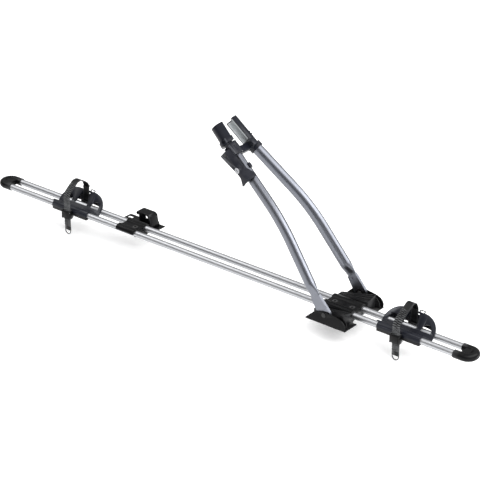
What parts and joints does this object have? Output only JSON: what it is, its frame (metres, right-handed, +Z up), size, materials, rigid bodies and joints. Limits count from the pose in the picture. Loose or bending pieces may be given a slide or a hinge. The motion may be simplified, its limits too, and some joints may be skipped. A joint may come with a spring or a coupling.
{
  "type": "roof_bike_carrier",
  "caption": "Roof mounted upright bicycle carrier: twin tube rails, sliding wheel trays with toothed straps, a bar foot and a folding two-arm frame clamp with a locking lever",
  "frame": {"origin": "middle of the foot pad's underside, where the carrier sits on the front load bar", "axes": "+X along the rails towards the front tray, +Y across the rails to the far side, +Z up"},
  "size_m": [1.4974, 0.158, 0.4507],
  "materials": {
    "rail_metal": "drawn and anodised silver",
    "arm_metal": "satin anodised silver",
    "black_plastic": "fine grained glass filled nylon",
    "charcoal_plastic": "satin moulded charcoal with a slight sheen",
    "strap_plastic": "flexible moulded strap, toothed outside",
    "black_steel": "black powder coat",
    "zinc_steel": "bright zinc",
    "black_rubber": "dull moulded rubber",
    "grey_rubber": "ribbed grey rubber"
  },
  "bodies": {
    "rails": {"near_rail": "rail_metal", "far_rail": "rail_metal", "rear_end_cap": "black_plastic", "front_end_cap": "black_plastic", "foot_bracket": "black_steel", "foot_pad": "black_rubber", "foot_saddle": "black_plastic", "foot_saddle_base": "black_plastic", "foot_clamp_bolts": "black_steel", "near_guard": "black_plastic", "far_guard": "black_plastic", "near_pivot_pin": "black_steel", "far_pivot_pin": "black_steel"},
    "arms": {"near_arm": "arm_metal", "far_arm": "arm_metal", "pivot_bushes": "black_plastic", "arm_rivets": "arm_metal", "head_bridge": "charcoal_plastic", "near_head_block": "charcoal_plastic", "far_head_collar": "charcoal_plastic", "far_jaw": "charcoal_plastic", "far_jaw_pad": "grey_rubber", "far_jaw_screw": "black_steel", "jaw_pin": "black_steel", "clamp_lever_pin": "black_steel", "lever_catch": "charcoal_plastic"},
    "jaw": {"near_jaw": "charcoal_plastic", "near_jaw_pad": "grey_rubber", "near_jaw_screw": "black_steel"},
    "lever": {"clamp_lever": "charcoal_plastic"},
    "lock": {"lock_barrel": "zinc_steel"},
    "rear_wheel_tray": {"rear_tray": "charcoal_plastic", "rear_tray_keel": "black_plastic", "rear_tray_screws": "zinc_steel", "rear_strap": "strap_plastic", "rear_buckle": "black_plastic", "rear_buckle_pin": "zinc_steel", "rear_strap_anchor": "black_plastic", "rear_strap_rivets": "zinc_steel"},
    "rear_strap_pawl": {"rear_buckle_lever": "black_plastic"},
    "front_wheel_tray": {"front_tray": "charcoal_plastic", "front_tray_keel": "black_plastic", "front_tray_screws": "zinc_steel", "front_strap": "strap_plastic", "front_buckle": "black_plastic", "front_buckle_pin": "zinc_steel", "front_strap_anchor": "black_plastic", "front_strap_rivets": "zinc_steel"},
    "front_strap_pawl": {"front_buckle_lever": "black_plastic"},
    "rear_bracket": {"bracket_saddle": "black_plastic", "bracket_saddle_base": "black_plastic", "bracket_plate": "black_steel", "bracket_pad": "black_rubber", "bracket_lever_pin": "black_steel", "bracket_bolt": "black_steel"},
    "rear_clamp_lever": {"bracket_lever": "black_plastic"}
  },
  "joints": [
    {"name": "arm_fold", "type": "hinge", "parent": "rails", "child": "arms", "pos_m": [-0.01, 0, 0.027], "axis": [0, -1, 0], "range_deg": [0, 40]},
    {"name": "lever_swing", "type": "hinge", "parent": "arms", "child": "lever", "pos_m": [-0.3128, -0.063, 0.3411], "axis": [0, -1, 0], "range_deg": [0, 60]},
    {"name": "jaw_open", "type": "hinge", "parent": "arms", "child": "jaw", "pos_m": [-0.3166, -0.037, 0.3521], "axis": [0.6428, 0, 0.766], "range_deg": [0, 10]},
    {"name": "lock_turn", "type": "hinge", "parent": "lever", "child": "lock", "pos_m": [-0.2769, -0.062, 0.3123], "axis": [0, 1, 0], "range_deg": [0, 90]},
    {"name": "rear_tray_slide", "type": "slide", "parent": "rails", "child": "rear_wheel_tray", "axis": [1, 0, 0], "range_m": [-0.12, 0.02]},
    {"name": "front_tray_slide", "type": "slide", "parent": "rails", "child": "front_wheel_tray", "axis": [1, 0, 0], "range_m": [-0.035, 0.06]},
    {"name": "rear_bracket_slide", "type": "slide", "parent": "rails", "child": "rear_bracket", "axis": [1, 0, 0], "range_m": [-0.02, 0.08]},
    {"name": "rear_strap_release", "type": "hinge", "parent": "rear_wheel_tray", "child": "rear_strap_pawl", "pos_m": [-0.862, -0.0427, 0.0195], "axis": [-1, 0, 0], "range_deg": [0, 50]},
    {"name": "front_strap_release", "type": "hinge", "parent": "front_wheel_tray", "child": "front_strap_pawl", "pos_m": [0.167, -0.0427, 0.0195], "axis": [-1, 0, 0], "range_deg": [0, 50]},
    {"name": "rear_clamp_release", "type": "hinge", "parent": "rear_bracket", "child": "rear_clamp_lever", "pos_m": [-0.648, 0.053, 0.013], "axis": [0, 1, 0], "range_deg": [0, 60]}
  ],
  "couplings": [
    {"joint": "jaw_open", "follows": "lever_swing", "ratio": 0.16667}
  ]
}
